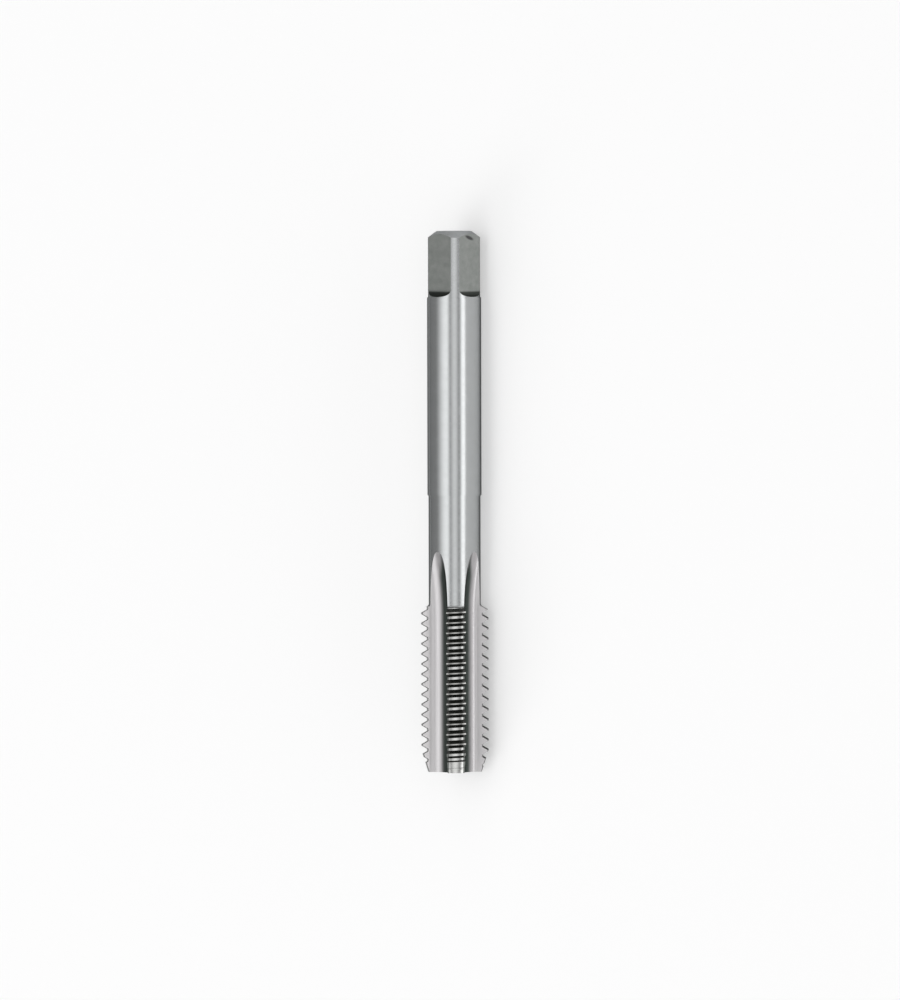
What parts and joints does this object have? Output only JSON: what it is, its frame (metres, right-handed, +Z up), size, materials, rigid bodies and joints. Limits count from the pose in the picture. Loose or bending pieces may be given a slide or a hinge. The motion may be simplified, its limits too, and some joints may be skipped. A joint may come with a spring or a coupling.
{
  "type": "thread tap",
  "caption": "Straight-fluted hand tap with a short chamfered lead, ground thread, reduced neck, round shank and square drive.",
  "frame": {"origin": "middle of the tap's box at the height of the surface that it lies on", "axes": "+Y along the tap's axis from the cutting end to the square end, +Z up, +X to the side; flutes and flats face X and Z"},
  "size_m": [0.0088, 0.08, 0.0088],
  "materials": {
    "ground_steel": "bright ground high-speed steel, polished on the shank and neck, matt on the square"
  },
  "bodies": {
    "root": {"thread_tap": "ground_steel"}
  },
  "joints": []
}
